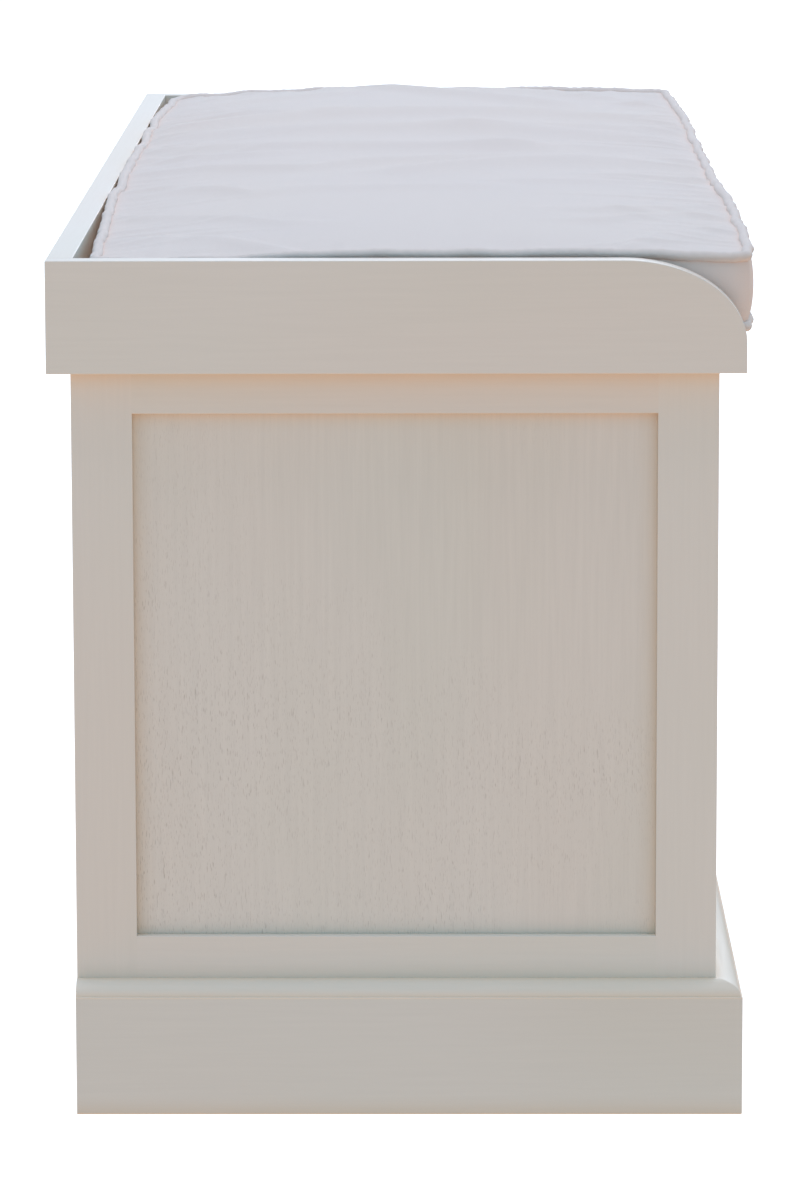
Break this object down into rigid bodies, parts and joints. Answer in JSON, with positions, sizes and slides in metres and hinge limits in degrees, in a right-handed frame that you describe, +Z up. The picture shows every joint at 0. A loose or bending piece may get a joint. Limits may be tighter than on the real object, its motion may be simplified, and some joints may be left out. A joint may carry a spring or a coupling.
{
  "type": "storage bench",
  "caption": "Painted frame-and-panel bench: flush drawers under a seat board with a raised rim open at the front, a moulded plinth and a loose piped box cushion.",
  "frame": {"origin": "on the floor, below the middle of the bench", "axes": "+X runs along the bench, -Y is the front where the drawers open, +Z is up"},
  "size_m": [1.1, 0.4, 0.505],
  "materials": {
    "painted_wood": "off-white satin paint over wood with a faint upright grain",
    "bare_wood": "unpainted pale softwood, sanded",
    "cushion_fabric": "off-white woven cotton cover with piped edges",
    "screw_steel": "bright zinc"
  },
  "bodies": {
    "chest": {"back_bottom_rail": "painted_wood", "back_left_corner_block": "bare_wood", "back_left_seat_screw": "screw_steel", "back_panel": "painted_wood", "back_right_corner_block": "bare_wood", "back_right_seat_screw": "screw_steel", "back_rim_board": "painted_wood", "back_top_rail": "painted_wood", "centre_drawer_left_runner": "bare_wood", "centre_drawer_right_runner": "bare_wood", "centre_drawer_stop": "bare_wood", "floor_board": "bare_wood", "front_bottom_rail": "painted_wood", "front_left_corner_block": "bare_wood", "front_left_seat_screw": "screw_steel", "front_plinth_board": "painted_wood", "front_right_corner_block": "bare_wood", "front_right_seat_screw": "screw_steel", "front_top_rail": "painted_wood", "left_divider": "painted_wood", "left_drawer_left_runner": "bare_wood", "left_drawer_right_runner": "bare_wood", "left_drawer_stop": "bare_wood", "left_end_back_stile": "painted_wood", "left_end_bottom_rail": "painted_wood", "left_end_front_stile": "painted_wood", "left_end_panel": "painted_wood", "left_end_top_rail": "painted_wood", "left_plinth_board": "painted_wood", "left_rim_board": "painted_wood", "right_divider": "painted_wood", "right_drawer_left_runner": "bare_wood", "right_drawer_right_runner": "bare_wood", "right_drawer_stop": "bare_wood", "right_end_back_stile": "painted_wood", "right_end_bottom_rail": "painted_wood", "right_end_front_stile": "painted_wood", "right_end_panel": "painted_wood", "right_end_top_rail": "painted_wood", "right_plinth_board": "painted_wood", "right_rim_board": "painted_wood", "seat_board": "painted_wood"},
    "left_drawer": {"left_drawer_back": "bare_wood", "left_drawer_bottom": "bare_wood", "left_drawer_front": "painted_wood", "left_drawer_left_side": "bare_wood", "left_drawer_right_side": "bare_wood"},
    "centre_drawer": {"centre_drawer_back": "bare_wood", "centre_drawer_bottom": "bare_wood", "centre_drawer_front": "painted_wood", "centre_drawer_left_side": "bare_wood", "centre_drawer_right_side": "bare_wood"},
    "right_drawer": {"right_drawer_back": "bare_wood", "right_drawer_bottom": "bare_wood", "right_drawer_front": "painted_wood", "right_drawer_left_side": "bare_wood", "right_drawer_right_side": "bare_wood"},
    "cushion": {"seat_cushion": "cushion_fabric"}
  },
  "joints": [
    {"name": "left_drawer_slide", "type": "slide", "parent": "chest", "child": "left_drawer", "axis": [0, -1, 0], "range_m": [0, 0.25]},
    {"name": "centre_drawer_slide", "type": "slide", "parent": "chest", "child": "centre_drawer", "axis": [0, -1, 0], "range_m": [0, 0.25]},
    {"name": "right_drawer_slide", "type": "slide", "parent": "chest", "child": "right_drawer", "axis": [0, -1, 0], "range_m": [0, 0.25]},
    {"name": "cushion_lift", "type": "slide", "parent": "chest", "child": "cushion", "axis": [0, 0, 1], "range_m": [0, 0.12]}
  ]
}
